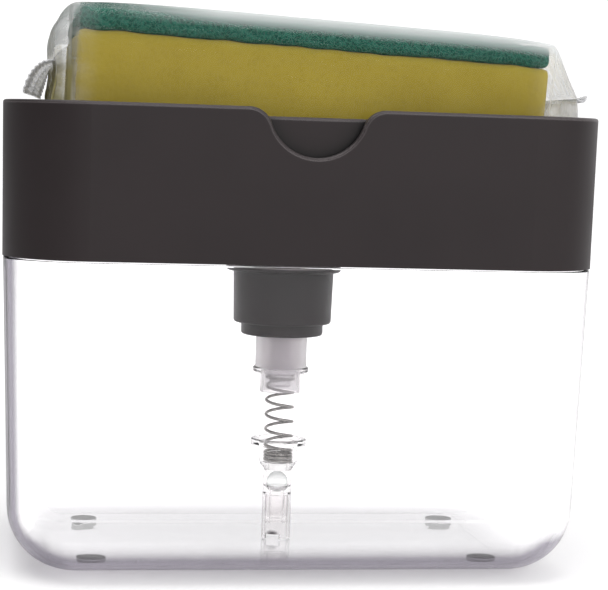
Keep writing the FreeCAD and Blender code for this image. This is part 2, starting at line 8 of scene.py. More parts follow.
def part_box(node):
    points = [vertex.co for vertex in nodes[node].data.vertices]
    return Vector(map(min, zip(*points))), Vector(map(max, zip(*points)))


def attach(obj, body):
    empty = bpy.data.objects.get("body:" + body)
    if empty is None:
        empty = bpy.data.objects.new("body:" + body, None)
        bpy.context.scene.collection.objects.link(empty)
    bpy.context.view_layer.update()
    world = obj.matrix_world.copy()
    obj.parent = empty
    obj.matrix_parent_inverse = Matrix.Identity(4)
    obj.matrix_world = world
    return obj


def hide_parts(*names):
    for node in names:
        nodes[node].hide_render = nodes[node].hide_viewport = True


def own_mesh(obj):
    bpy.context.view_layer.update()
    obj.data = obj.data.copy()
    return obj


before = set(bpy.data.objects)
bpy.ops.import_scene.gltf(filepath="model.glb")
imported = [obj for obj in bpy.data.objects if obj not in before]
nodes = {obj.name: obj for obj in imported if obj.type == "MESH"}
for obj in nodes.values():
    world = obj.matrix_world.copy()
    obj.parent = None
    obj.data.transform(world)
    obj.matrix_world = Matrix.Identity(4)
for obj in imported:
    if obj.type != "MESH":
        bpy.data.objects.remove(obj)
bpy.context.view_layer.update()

# Metres throughout; MM turns a size in millimetres into metres.
MM = 0.001

# The sponge lies tilted in the press tray, its left end raised. Its faces are uneven by a noise from -1
# to 1, less a share that keeps them inside the CAD solids or nearly so.
SPONGE_TILT = math.radians(2.75)
SPONGE_STEP = 1.4 * MM
FOAM_ROUNDING = 1.3 * MM
FOAM_UNEVEN = 0.25 * MM
FOAM_UNEVEN_LENGTH = 14.0 * MM
FOAM_SINK = 1.0
PAD_ROUNDING = 1.6 * MM
PAD_UNEVEN = 0.3 * MM
PAD_UNEVEN_LENGTH = 1.8 * MM
PAD_SINK = 0.7
BOND_WAVE = 0.35 * MM
BOND_WAVE_LENGTH = 5.0 * MM

# The film round the sponge: a loose sleeve, crowned on top, whose ends are tucked in at the sides and
# sealed to a crimped fin with a toothed edge. Small folds run along its ends.
FILM_GAP = 0.5 * MM
FILM_CROWN = 0.9 * MM
FILM_CROWN_POWER = 6
FILM_GIRTH_STEP = 0.9 * MM
FILM_SLEEVE_STEP = 2.0 * MM
FILM_END_STEP = 0.8 * MM
FILM_END_RUN = 16.0 * MM
FILM_LAP = 9.0 * MM
FILM_TUCK = 12.5 * MM
FILM_SMOOTHINGS = 2
FILM_SMOOTHING = 0.5
FILM_FOLD = 0.5 * MM
FILM_FOLD_WIDTH = 3.2 * MM
FILM_FOLD_LENGTH = 14.0 * MM
FILM_FOLD_POWER = 0.7
FIN_RUN = 10.5 * MM
FIN_STEP = 0.28 * MM
FIN_HALF_DEPTH = 29.5 * MM
FIN_LAYER = 0.12 * MM
FIN_CRIMP = 0.13 * MM
FIN_CRIMP_PITCH = 1.15 * MM
FIN_TOOTH = 0.5 * MM
FIN_TOOTH_PITCH = 2.6 * MM

# Shares of a fin's run: how soon its crimp is full, and the step over which its slope is taken.
FIN_CRIMP_START = 0.25
FIN_SLOPE_STEP = 0.01

# Side profiles of the film's ends in millimetres: outwards from the sponge's end, up from its underside.
LEFT_TOP = ((0, 27.35), (3.2, 27.4), (5.9, 22.5), (4.8, 17.5), (4.0, 15.2))
LEFT_BOTTOM = ((0, -0.5), (5.6, -0.4), (6.2, 3.5), (2.4, 9.0), (4.0, 15.0))
LEFT_FIN_FRONT = ((4.0, 15.1), (9.2, 15.2), (10.5, 7.4))
LEFT_FIN_BACK = ((4.0, 15.1), (4.7, 11.5), (5.8, 7.4))
RIGHT_TOP = ((0, 27.35), (2.4, 26.6), (4.6, 21.0), (7.0, 18.5), (8.3, 16.4))
RIGHT_BOTTOM = ((0, -0.5), (6.0, -0.4), (8.6, 5.0), (8.8, 12.0), (8.3, 16.2))
RIGHT_FIN_FRONT = ((8.3, 16.3), (10.1, 14.8), (10.5, 17.2))
RIGHT_FIN_BACK = ((8.3, 16.3), (9.8, 15.2), (10.4, 13.2))

# Marks on the film, as places on its flat sheet: along it from its middle, negative to the left, and
# round it from the middle of its top. A pair is where a change starts and where it ends.
FILM_TOP_MIDDLE = 98.8 * MM
STREAK_LENGTH = 14 * MM
STREAK_WIDTH = 2.2 * MM
HAZY_ENDS = (46 * MM, 58 * MM)
CLEARER_RIGHT = (40 * MM, 50 * MM)
CRIMPED_FINS = (65 * MM, 68 * MM)
SLANT_CREASE = 48.2 * MM
SLANT_LEAN = 0.08
SLANT_EDGE = (0.1 * MM, 0.6 * MM)
# Where the painted sheen along the upper edges starts and ends.
SHEEN_INNER = (30 * MM, 33.5 * MM)
SHEEN_OUTER = (38.7 * MM, 35.5 * MM)
SHEEN_LEFT = (-46 * MM, -22 * MM)
BUNCHED_RIGHT = (49 * MM, 55 * MM)
LOWER_HALF = (46 * MM, 50 * MM)
SLACK_LEFT = (-50.7 * MM, -51.7 * MM)
SLACK_FIN = (-67 * MM, -64 * MM)
KINK_TIP = -52 * MM
KINK_SPREAD = 0.3
KINK_ROUND = 44.5 * MM
KINK_EDGE = 0.4 * MM

# How milky the bunched right end and the milkiest place are, and the share of the milk that glows.
BUNCH_MILK = 0.45
MOST_MILK = 0.93
MILK_GLOW = 0.5

# The pump's spring: close turns at both ends, open ones between, wound left-handed.
WIRE_DIAMETER = 0.7 * MM
CLOSE_PITCH = 0.76 * MM
CLOSE_TURNS_LOW = 3.0
CLOSE_TURNS_HIGH = 1.0
OPEN_TURNS = 5.0
STEPS_PER_TURN = 28
WIRE_SIDES = 12

# Places that the clear materials mark: the notch cut into the dip tube's foot, towards the front and a little
# to the left, and how far its painted shade reaches; the heights between which the barrel turns milky; and
# where the tank's left wall, painted darker, lies.
TUBE_NOTCH = Vector((-1.2, -2.6, 3.6)) * MM
NOTCH_SHADE = (1.0 * MM, 1.9 * MM)
BARREL_MILKY = (41.5 * MM, 43.0 * MM)
LEFT_WALL = (-50 * MM, -40 * MM)

# The photograph's camera, with its frame of 608 by 590 pixels.
CAMERA_AZIMUTH = math.radians(8.97)
CAMERA_DROP = math.radians(4.68)
CAMERA_ROLL = math.radians(1.82)
CAMERA_DISTANCE = 450.5 * MM
CAMERA_AIM = Vector((5.1, 0.0, 59.3)) * MM
CAMERA_LENS = 114.5
CAMERA_SENSOR = 36.0

# The white studio: the world's strength on the left and on the right, the directions between which it
# changes, and its strength as the eye sees it; the floor's half side, and the glow that lifts it to white
# from near the object to far off, and through glass.
WORLD_LEFT = 0.12
WORLD_RIGHT = 0.92
WORLD_TURN = (-0.95, 0.2)
WORLD_SEEN = 1.1
FLOOR_HALF = 6.0
FLOOR_NEAR = 0.13
FLOOR_FAR = 0.6
GLOW_NEAR = 0.22
GLOW_FAR = 0.6
GLOW_THROUGH_GLASS = 0.6
LAMP_AIM = Vector((0.0, 0.0, 0.06))


def linear(code):
    """Linear RGBA of an sRGB hex colour."""
    parts = [int(code[i:i + 2], 16) / 255 for i in (1, 3, 5)]
    return [c / 12.92 if c <= 0.04045 else ((c + 0.055) / 1.055) ** 2.4 for c in parts] + [1.0]


def add(tree, kind, inputs=None, **settings):
    """Add a node: settings are its own properties, inputs its sockets as values or as links."""
    node = tree.nodes.new(kind)
    for name, value in settings.items():
        setattr(node, name, value)
    for name, value in (inputs or {}).items():
        if isinstance(value, bpy.types.NodeSocket):
            tree.links.new(value, node.inputs[name])
        else:
            node.inputs[name].default_value = value
    return node


def blank(name):
    """A new material with an empty node tree, and that tree."""
    material = bpy.data.materials.new(name)
    material.use_nodes = True
    material.node_tree.nodes.clear()
    return material, material.node_tree


def per_size(size):
    """Texture scale at which one feature of a noise or cell pattern has that size in metres."""
    return 1.0 / size


def light_through(tree, skin, colour):
    """The skin as the eye sees it, but a plain tinted window to shadow rays, so that light gets through."""
    window = add(tree, "ShaderNodeBsdfTransparent", {"Color": colour})
    shadow = add(tree, "ShaderNodeLightPath").outputs["Is Shadow Ray"]
    return add(tree, "ShaderNodeMixShader", {0: shadow, 1: skin.outputs[0], 2: window.outputs[0]})


def clear_styrene():
    """Clear polystyrene, injection moulded: water-clear walls, with painted violet-grey shade where one looks
    along them and on the left wall, with the faint waviness of the melt's flow and patches that are a little
    less polished."""
    material, tree = blank("clear_moulded_polystyrene")
    place = add(tree, "ShaderNodeTexCoord").outputs["Object"]
    flow = add(tree, "ShaderNodeTexNoise", {"Vector": place, "Scale": per_size(26 * MM), "Detail": 1.0})
    ripple = add(tree, "ShaderNodeBump", {
        "Height": flow.outputs["Fac"], "Strength": 0.05, "Distance": 0.5 * MM})
    scuff = add(tree, "ShaderNodeTexNoise", {"Vector": place, "Scale": per_size(9 * MM), "Detail": 6.0})
    rough = add(tree, "ShaderNodeMapRange", {
        "Value": scuff.outputs["Fac"], "From Min": 0.4, "From Max": 0.75, "To Min": 0.0, "To Max": 0.02})
    # Painted grey shade comes in where the rounded foot and the left wall turn away from the eye, and as a
    # thin line round every outline.
    away = add(tree, "ShaderNodeLayerWeight").outputs["Facing"]
    normal = add(tree, "ShaderNodeNewGeometry").outputs["Normal"]
    facing = add(tree, "ShaderNodeSeparateXYZ", {"Vector": normal})
    under = add(tree, "ShaderNodeMapRange", {
        "Value": facing.outputs["Z"], "From Min": -0.15, "From Max": -0.45})
    under_turn = add(tree, "ShaderNodeMapRange", {
        "Value": away, "From Min": 0.18, "From Max": 0.5}, interpolation_type="SMOOTHSTEP")
    foot = add(tree, "ShaderNodeMath", {
        0: under.outputs["Result"], 1: under_turn.outputs["Result"]}, operation="MULTIPLY")
    spot = add(tree, "ShaderNodeSeparateXYZ", {"Vector": place})
    wall = add(tree, "ShaderNodeMapRange", {
        "Value": spot.outputs["X"], "From Min": LEFT_WALL[0], "From Max": LEFT_WALL[1],
        "To Min": 1.0, "To Max": 0.0})
    outer = add(tree, "ShaderNodeMapRange", {
        "Value": facing.outputs["X"], "From Min": -0.25, "From Max": -0.1, "To Min": 1.0, "To Max": 0.0})
    wall = add(tree, "ShaderNodeMath", {
        0: wall.outputs["Result"], 1: outer.outputs["Result"]}, operation="MULTIPLY")
    wall_turn = add(tree, "ShaderNodeMapRange", {
        "Value": away, "From Min": 0.38, "From Max": 0.6}, interpolation_type="SMOOTHSTEP")
    left = add(tree, "ShaderNodeMath", {
        0: wall.outputs[0], 1: wall_turn.outputs["Result"]}, operation="MULTIPLY")
    grey = add(tree, "ShaderNodeMath", {0: foot.outputs[0], 1: left.outputs[0]}, operation="MAXIMUM")
    rim = add(tree, "ShaderNodeMapRange", {
        "Value": away, "From Min": 0.8, "From Max": 0.97, "To Min": 0.0, "To Max": 0.5})
    grey = add(tree, "ShaderNodeMath", {0: grey.outputs[0], 1: rim.outputs["Result"]}, operation="MAXIMUM")
    tint = add(tree, "ShaderNodeMix", {
        "Factor": grey.outputs[0], "A": linear("#FFFFFF"), "B": linear("#635E69")}, data_type="RGBA")
    # Painted shade: the left wall is darker than the rest.
    tint = add(tree, "ShaderNodeMix", {
        "Factor": left.outputs[0], "A": tint.outputs["Result"], "B": linear("#4A4650")}, data_type="RGBA")
    skin = add(tree, "ShaderNodeBsdfPrincipled", {
        "Base Color": tint.outputs["Result"], "IOR": 1.57, "Transmission Weight": 1.0,
        "Specular Tint": linear("#959595"),
        "Roughness": rough.outputs["Result"], "Normal": ripple.outputs["Normal"]})
    shade = add(tree, "ShaderNodeMix", {
        "Factor": grey.outputs[0], "A": linear("#F0EEF1"), "B": linear("#9A959E")}, data_type="RGBA")
    both = light_through(tree, skin, shade.outputs["Result"])
    depth = add(tree, "ShaderNodeVolumeAbsorption", {"Color": linear("#B9B2BE"), "Density": 30.0})
    add(tree, "ShaderNodeOutputMaterial", {"Surface": both.outputs[0], "Volume": depth.outputs[0]})
    return material


def warm_grey_abs():
    """ABS, moulded in a spark-eroded tool: dark warm grey, an even satin with a fine grain, a little more
    polished in broad patches where it has been handled, with painted highlights on edges that turn upwards
    and painted shade in narrow gaps."""
    material, tree = blank("warm_grey_moulded_abs")
    place = add(tree, "ShaderNodeTexCoord").outputs["Object"]
    patch = add(tree, "ShaderNodeTexNoise", {"Vector": place, "Scale": per_size(22 * MM), "Detail": 3.0})
    colour = add(tree, "ShaderNodeMix", {
        "Factor": patch.outputs["Fac"], "A": linear("#1E1819"), "B": linear("#251E1F")}, data_type="RGBA")
    rough = add(tree, "ShaderNodeMapRange", {
        "Value": patch.outputs["Fac"], "From Min": 0.3, "From Max": 0.7, "To Min": 0.36, "To Max": 0.48})
    # Painted highlight on edges that turn upwards, where a light from above would catch them: there a rounded
    # edge's normal leaves that of the face.
    edge = add(tree, "ShaderNodeBevel", {"Radius": 0.9 * MM}, samples=8)
    flat = add(tree, "ShaderNodeNewGeometry").outputs["Normal"]
    bend = add(tree, "ShaderNodeVectorMath", {0: edge.outputs["Normal"], 1: flat}, operation="DOT_PRODUCT")
    bent = add(tree, "ShaderNodeMapRange", {
        "Value": bend.outputs["Value"], "From Min": 0.998, "From Max": 0.93})
    rise = add(tree, "ShaderNodeSeparateXYZ", {"Vector": edge.outputs["Normal"]})
    upward = add(tree, "ShaderNodeMapRange", {
        "Value": rise.outputs["Z"], "From Min": -0.05, "From Max": 0.2})
    pale = add(tree, "ShaderNodeMath", {0: bent.outputs[0], 1: upward.outputs[0]}, operation="MULTIPLY")
    colour = add(tree, "ShaderNodeMix", {
        "Factor": pale.outputs[0], "A": colour.outputs["Result"], "B": linear("#B3ABAC")}, data_type="RGBA")
    # Painted shade: narrow gaps are darker, as behind the finger notch.
    near = add(tree, "ShaderNodeAmbientOcclusion", {"Distance": 7 * MM}, samples=6)
    dark = add(tree, "ShaderNodeMapRange", {
        "Value": near.outputs["AO"], "From Min": 0.92, "From Max": 0.4})
    colour = add(tree, "ShaderNodeMix", {
        "Factor": dark.outputs[0], "A": colour.outputs["Result"], "B": linear("#060505")}, data_type="RGBA")
    # The real grain is under 0.1 mm; it is drawn at 0.5 mm so that it shows.
    grain = add(tree, "ShaderNodeTexNoise", {"Vector": place, "Scale": per_size(0.5 * MM), "Detail": 2.0})
    raised = add(tree, "ShaderNodeBump", {
        "Height": grain.outputs["Fac"], "Strength": 0.08, "Distance": 0.03 * MM})
    skin = add(tree, "ShaderNodeBsdfPrincipled", {
        "Base Color": colour.outputs["Result"], "IOR": 1.5, "Specular IOR Level": 0.24,
        "Roughness": rough.outputs["Result"], "Normal": raised.outputs["Normal"]})
    add(tree, "ShaderNodeOutputMaterial", {"Surface": skin.outputs[0]})
    return material


def clear_polypropylene():
    """Clarified polypropylene, moulded thin: clear below, milky in the thicker upper part of the barrel, with
    painted grey shade at its outlines and in the dip tube's notch.
    """
    material, tree = blank("clarified_polypropylene")
    place = add(tree, "ShaderNodeTexCoord").outputs["Object"]
    haze = add(tree, "ShaderNodeTexNoise", {"Vector": place, "Scale": per_size(4 * MM), "Detail": 3.0})
    rise = add(tree, "ShaderNodeSeparateXYZ", {"Vector": place})
    thick = add(tree, "ShaderNodeMapRange", {
        "Value": rise.outputs["Z"], "From Min": BARREL_MILKY[0], "From Max": BARREL_MILKY[1]})
    rough = add(tree, "ShaderNodeMapRange", {"Value": haze.outputs["Fac"], "To Min": 0.02, "To Max": 0.08})
    rough = add(tree, "ShaderNodeMix", {
        "Factor": thick.outputs["Result"], "A": rough.outputs["Result"], "B": 0.42})
    # Painted grey shade where the walls turn away from the eye.
    turn = add(tree, "ShaderNodeMapRange", {
        "Value": add(tree, "ShaderNodeLayerWeight").outputs["Facing"], "From Min": 0.4, "From Max": 0.85})
    clear = add(tree, "ShaderNodeMix", {
        "Factor": turn.outputs["Result"], "A": linear("#FBFAFA"), "B": linear("#AAA6A8")}, data_type="RGBA")
    colour = add(tree, "ShaderNodeMix", {
        "Factor": thick.outputs["Result"], "A": clear.outputs["Result"], "B": linear("#E6E3E4")},
        data_type="RGBA")
    # Painted shade darkens the cut notch in the dip tube's foot.
    notch = add(tree, "ShaderNodeVectorMath", {0: place, 1: TUBE_NOTCH}, operation="DISTANCE")
    notch_shade = add(tree, "ShaderNodeMapRange", {
        "Value": notch.outputs["Value"], "From Min": NOTCH_SHADE[0], "From Max": NOTCH_SHADE[1],
        "To Min": 1.0, "To Max": 0.0})
    colour = add(tree, "ShaderNodeMix", {
        "Factor": notch_shade.outputs["Result"], "A": colour.outputs["Result"], "B": linear("#4B474B")},
        data_type="RGBA")
    # The IOR is below the real 1.49, so that what stands behind the thin walls stays in sight.
    skin = add(tree, "ShaderNodeBsdfPrincipled", {
        "Base Color": colour.outputs["Result"], "IOR": 1.3, "Transmission Weight": 1.0,
        "Roughness": rough.outputs["Result"]})
    both = light_through(tree, skin, linear("#EDEBEE"))
    add(tree, "ShaderNodeOutputMaterial", {"Surface": both.outputs[0]})
    return material


def natural_polyethylene():
    """Uncoloured polyethylene, thin and soft: waxy, a breath of grey, so that the spring shows through."""
    material, tree = blank("natural_polyethylene")
    place = add(tree, "ShaderNodeTexCoord").outputs["Object"]
    cloud = add(tree, "ShaderNodeTexNoise", {"Vector": place, "Scale": per_size(3 * MM), "Detail": 3.0})
    colour = add(tree, "ShaderNodeMix", {
        "Factor": cloud.outputs["Fac"], "A": linear("#F4F3F4"), "B": linear("#FCFBFC")}, data_type="RGBA")
    rough = add(tree, "ShaderNodeMapRange", {"Value": cloud.outputs["Fac"], "To Min": 0.08, "To Max": 0.18})
    # The IOR is well below the real 1.51, for the same reason as the barrel's.
    wax = add(tree, "ShaderNodeBsdfPrincipled", {
        "Base Color": colour.outputs["Result"], "IOR": 1.14, "Transmission Weight": 0.8,
        "Roughness": rough.outputs["Result"]})
    both = light_through(tree, wax, linear("#E6E2E6"))
    add(tree, "ShaderNodeOutputMaterial", {"Surface": both.outputs[0]})
    return material


def seal_rubber():
    """Soft grey elastomer: dull, with a faint bloom of lighter dust."""
    material, tree = blank("grey_seal_elastomer")
    place = add(tree, "ShaderNodeTexCoord").outputs["Object"]
    bloom = add(tree, "ShaderNodeTexNoise", {"Vector": place, "Scale": per_size(1.5 * MM), "Detail": 4.0})
    colour = add(tree, "ShaderNodeMix", {
        "Factor": bloom.outputs["Fac"], "A": linear("#A9A5A9"), "B": linear("#BFBBBF")}, data_type="RGBA")
    rough = add(tree, "ShaderNodeMapRange", {"Value": bloom.outputs["Fac"], "To Min": 0.55, "To Max": 0.8})
    skin = add(tree, "ShaderNodeBsdfPrincipled", {
        "Base Color": colour.outputs["Result"], "IOR": 1.5, "Roughness": rough.outputs["Result"]})
    add(tree, "ShaderNodeOutputMaterial", {"Surface": skin.outputs[0]})
    return material


def foot_rubber():
    """Smoke-grey soft vinyl foot: it lets a little light in, and shows grey through the floor of the tank."""
    material, tree = blank("smoke_grey_vinyl")
    place = add(tree, "ShaderNodeTexCoord").outputs["Object"]
    dust = add(tree, "ShaderNodeTexNoise", {"Vector": place, "Scale": per_size(1.2 * MM), "Detail": 4.0})
    colour = add(tree, "ShaderNodeMix", {
        "Factor": dust.outputs["Fac"], "A": linear("#3A373D"), "B": linear("#4A474D")}, data_type="RGBA")
    rough = add(tree, "ShaderNodeMapRange", {"Value": dust.outputs["Fac"], "To Min": 0.4, "To Max": 0.65})
    skin = add(tree, "ShaderNodeBsdfPrincipled", {
        "Base Color": colour.outputs["Result"], "IOR": 1.52, "Transmission Weight": 0.2,
        "Roughness": rough.outputs["Result"]})
    add(tree, "ShaderNodeOutputMaterial", {"Surface": skin.outputs[0]})
    return material


def spring_wire():
    """Drawn stainless wire: grey metal whose polish is a little uneven from the drawing die."""
    material, tree = blank("drawn_stainless_wire")
    place = add(tree, "ShaderNodeTexCoord").outputs["Object"]
    drawn = add(tree, "ShaderNodeTexNoise", {"Vector": place, "Scale": per_size(0.4 * MM), "Detail": 4.0})
    rough = add(tree, "ShaderNodeMapRange", {"Value": drawn.outputs["Fac"], "To Min": 0.18, "To Max": 0.4})
    metal = add(tree, "ShaderNodeBsdfPrincipled", {
        "Base Color": linear("#8F8D8A"), "Metallic": 1.0, "Roughness": rough.outputs["Result"]})
    add(tree, "ShaderNodeOutputMaterial", {"Surface": metal.outputs[0]})
    return material


def valve_glass():
    """Soda-lime glass ball: clear with the green of its iron, ground and tumbled smooth."""
    material, tree = blank("soda_lime_glass")
    place = add(tree, "ShaderNodeTexCoord").outputs["Object"]
    tumbled = add(tree, "ShaderNodeTexNoise", {"Vector": place, "Scale": per_size(0.8 * MM), "Detail": 3.0})
    rough = add(tree, "ShaderNodeMapRange", {
        "Value": tumbled.outputs["Fac"], "To Min": 0.02, "To Max": 0.08})
    turn = add(tree, "ShaderNodeMapRange", {
        "Value": add(tree, "ShaderNodeLayerWeight").outputs["Facing"], "From Min": 0.35, "From Max": 0.85})
    green = add(tree, "ShaderNodeMix", {
        "Factor": turn.outputs["Result"], "A": linear("#F4F8F6"), "B": linear("#A3B0A9")}, data_type="RGBA")
    # The IOR is below the real 1.52, so that the ball stays pale inside the clear barrel.
    glass = add(tree, "ShaderNodeBsdfPrincipled", {
        "Base Color": green.outputs["Result"], "IOR": 1.2, "Transmission Weight": 1.0,
        "Roughness": rough.outputs["Result"]})
    add(tree, "ShaderNodeOutputMaterial", {"Surface": glass.outputs[0]})
    return material


def yellow_foam():
    """Open-cell polyurethane foam, cut on a band saw: dull yellow, pitted with cells a millimetre across,
    their hollows a little darker and browner in painted shade."""
    material, tree = blank("cut_yellow_foam")
    place = add(tree, "ShaderNodeTexCoord").outputs["Object"]
    cell = add(tree, "ShaderNodeTexVoronoi", {"Vector": place, "Scale": per_size(1.1 * MM)})
    cloud = add(tree, "ShaderNodeTexNoise", {"Vector": place, "Scale": per_size(8 * MM), "Detail": 4.0})
    tint = add(tree, "ShaderNodeMix", {
        "Factor": cloud.outputs["Fac"], "A": linear("#9D8B2B"), "B": linear("#AB9A3D")}, data_type="RGBA")
    # Painted shade in the cells' hollows.
    pit_shade = add(tree, "ShaderNodeMapRange", {
        "Value": cell.outputs["Distance"], "From Min": 0.0, "From Max": 0.45, "To Min": 0.4, "To Max": 0.0})
    colour = add(tree, "ShaderNodeMix", {
        "Factor": pit_shade.outputs["Result"], "A": tint.outputs["Result"], "B": linear("#8A7A1E")},
        data_type="RGBA")
    sunk = add(tree, "ShaderNodeBump", {
        "Height": cell.outputs["Distance"], "Strength": 0.2, "Distance": 0.2 * MM})
    foam = add(tree, "ShaderNodeBsdfPrincipled", {
        "Base Color": colour.outputs["Result"], "Roughness": 0.95, "Specular IOR Level": 0.1,
        "Sheen Weight": 0.15, "Normal": sunk.outputs["Normal"]})
    add(tree, "ShaderNodeOutputMaterial", {"Surface": foam.outputs[0]})
    return material


def green_scour():
    """Non-woven nylon with grit bonded in: a felt of coarse dark green fibres with lighter ones on top."""
    material, tree = blank("nonwoven_green_nylon")
    place = add(tree, "ShaderNodeTexCoord").outputs["Object"]
    bent = add(tree, "ShaderNodeTexNoise", {"Vector": place, "Scale": per_size(2.2 * MM), "Detail": 2.0})
    warp = add(tree, "ShaderNodeVectorMath", {
        0: bent.outputs["Color"], 1: (2.5 * MM,) * 3}, operation="MULTIPLY")
    path = add(tree, "ShaderNodeVectorMath", {0: place, 1: warp.outputs[0]}, operation="ADD")
    fibre = add(tree, "ShaderNodeTexVoronoi", {
        "Vector": path.outputs[0], "Scale": per_size(1.0 * MM)}, feature="DISTANCE_TO_EDGE")
    strand = add(tree, "ShaderNodeMapRange", {
        "Value": fibre.outputs["Distance"], "From Min": 0.0, "From Max": 0.22,
        "To Min": 1.0, "To Max": 0.0})
    cloud = add(tree, "ShaderNodeTexNoise", {"Vector": place, "Scale": per_size(6 * MM), "Detail": 4.0})
    ground = add(tree, "ShaderNodeMix", {
        "Factor": cloud.outputs["Fac"], "A": linear("#0A4437"), "B": linear("#135649")}, data_type="RGBA")
    colour = add(tree, "ShaderNodeMix", {
        "Factor": strand.outputs["Result"], "A": ground.outputs["Result"], "B": linear("#2C6E5D")},
        data_type="RGBA")
    raised = add(tree, "ShaderNodeBump", {
        "Height": strand.outputs["Result"], "Strength": 0.6, "Distance": 0.3 * MM})
    felt = add(tree, "ShaderNodeBsdfPrincipled", {
        "Base Color": colour.outputs["Result"], "Roughness": 0.8, "Specular IOR Level": 0.25,
        "Normal": raised.outputs["Normal"]})
    add(tree, "ShaderNodeOutputMaterial", {"Surface": felt.outputs[0]})
    return material


def creased_ends(tree, along, far, streak):
    """Share of milk that grows in streaks towards the film's ends, less at the right one."""
    ends = add(tree, "ShaderNodeMapRange", {
        "Value": far, "From Min": HAZY_ENDS[0], "From Max": HAZY_ENDS[1], "To Min": 0.015, "To Max": 0.6})
    crease = add(tree, "ShaderNodeMapRange", {
        "Value": streak, "From Min": 0.36, "From Max": 0.66, "To Min": 0.35, "To Max": 1.0})
    milk = add(tree, "ShaderNodeMath", {0: ends.outputs[0], 1: crease.outputs[0]}, operation="MULTIPLY")
    clear = add(tree, "ShaderNodeMapRange", {
        "Value": along, "From Min": CLEARER_RIGHT[0], "From Max": CLEARER_RIGHT[1],
        "To Min": 1.0, "To Max": 0.4})
    return add(tree, "ShaderNodeMath", {0: milk.outputs[0], 1: clear.outputs[0]}, operation="MULTIPLY")


def slant_crease(tree, way, far):
    """Share of white along a crease that runs aslant near the sponge's ends."""
    line = add(tree, "ShaderNodeMath", {0: way, 1: -SLANT_LEAN, 2: far}, operation="MULTIPLY_ADD")
    off = add(tree, "ShaderNodeMath", {0: line.outputs[0], 1: SLANT_CREASE}, operation="SUBTRACT")
    off = add(tree, "ShaderNodeMath", {0: off.outputs[0]}, operation="ABSOLUTE")
    return add(tree, "ShaderNodeMapRange", {
        "Value": off.outputs[0], "From Min": SLANT_EDGE[0], "From Max": SLANT_EDGE[1],
        "To Min": 0.55, "To Max": 0.0})


def painted_edge_sheen(tree, along, top):
    """Share of painted white sheen along the sponge's upper edges, where light grazes the film's bend, but
    not at the left.
    """
    outer = add(tree, "ShaderNodeMapRange", {
        "Value": top, "From Min": SHEEN_OUTER[0], "From Max": SHEEN_OUTER[1]})
    inner = add(tree, "ShaderNodeMapRange", {
        "Value": top, "From Min": SHEEN_INNER[0], "From Max": SHEEN_INNER[1]})
    fade = add(tree, "ShaderNodeMapRange", {
        "Value": along, "From Min": SHEEN_LEFT[0], "From Max": SHEEN_LEFT[1],
        "To Min": 0.0, "To Max": 0.9})
    band = add(tree, "ShaderNodeMath", {0: outer.outputs[0], 1: inner.outputs[0]}, operation="MULTIPLY")
    return add(tree, "ShaderNodeMath", {0: band.outputs[0], 1: fade.outputs[0]}, operation="MULTIPLY")


def slack_pocket(tree, slack, low):
    """Share of milk in the slack left end: more below, and less on the panel that closes it."""
    limp = add(tree, "ShaderNodeMapRange", {"Value": low.outputs[0], "To Min": 0.3, "To Max": 0.6})
    limp = add(tree, "ShaderNodeMath", {0: slack.outputs[0], 1: limp.outputs[0]}, operation="MULTIPLY")
    normal = add(tree, "ShaderNodeNewGeometry").outputs["Normal"]
    facing = add(tree, "ShaderNodeSeparateXYZ", {"Vector": normal})
    endways = add(tree, "ShaderNodeMath", {0: facing.outputs["X"]}, operation="ABSOLUTE")
    panel = add(tree, "ShaderNodeMapRange", {
        "Value": endways.outputs[0], "From Min": 0.45, "From Max": 0.8, "To Min": 1.0, "To Max": 0.6})
    return add(tree, "ShaderNodeMath", {0: limp.outputs[0], 1: panel.outputs[0]}, operation="MULTIPLY")


def clear_kink(tree, along, top, taut):
    """Share of a clear kink that opens out between the two halves of the left end, away from the sponge."""
    apart = add(tree, "ShaderNodeMath", {0: top, 1: KINK_ROUND}, operation="SUBTRACT")
    apart = add(tree, "ShaderNodeMath", {0: apart.outputs[0]}, operation="ABSOLUTE")
    half = add(tree, "ShaderNodeMath", {
        0: along, 1: -KINK_SPREAD, 2: KINK_SPREAD * KINK_TIP}, operation="MULTIPLY_ADD")
    kink = add(tree, "ShaderNodeMath", {0: half.outputs[0], 1: apart.outputs[0]}, operation="SUBTRACT")
    kink = add(tree, "ShaderNodeMapRange", {
        "Value": kink.outputs[0], "From Min": 0.0, "From Max": KINK_EDGE})
    return add(tree, "ShaderNodeMath", {0: kink.outputs[0], 1: taut.outputs[0]}, operation="MULTIPLY")


